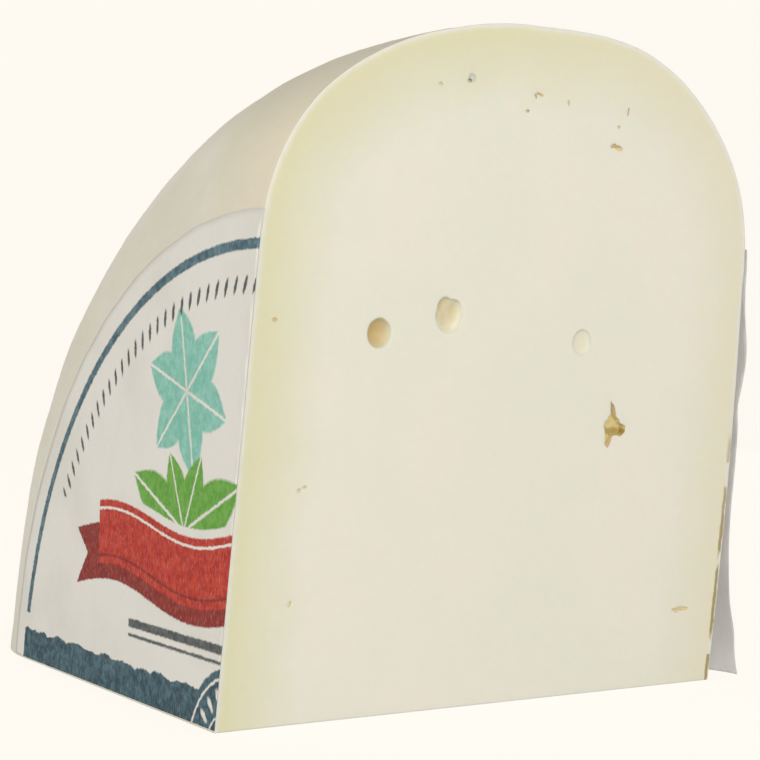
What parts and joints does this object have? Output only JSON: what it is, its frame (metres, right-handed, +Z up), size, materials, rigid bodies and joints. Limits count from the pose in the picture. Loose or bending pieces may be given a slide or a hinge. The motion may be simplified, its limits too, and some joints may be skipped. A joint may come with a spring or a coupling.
{
  "type": "goat cheese wedge",
  "caption": "Thick wedge of pale goat cheese, a little over a quarter of a wheel, standing on one cut face with a round paper label on its flat rind side.",
  "frame": {"origin": "near the middle of the flat cut face it stands on", "axes": "+X along the wheel's axis, away from the labelled face; +Y away from the front cut, towards the rim; +Z up"},
  "size_m": [0.1173, 0.135, 0.1168],
  "materials": {
    "cheese": "smooth pale cheese paste with a satin rind",
    "label_paper": "matt printed paper",
    "backing_paper": "matt thin grey-white paper"
  },
  "bodies": {
    "root": {"cheese": "cheese", "front_label": "label_paper", "back_label": "backing_paper"}
  },
  "joints": []
}
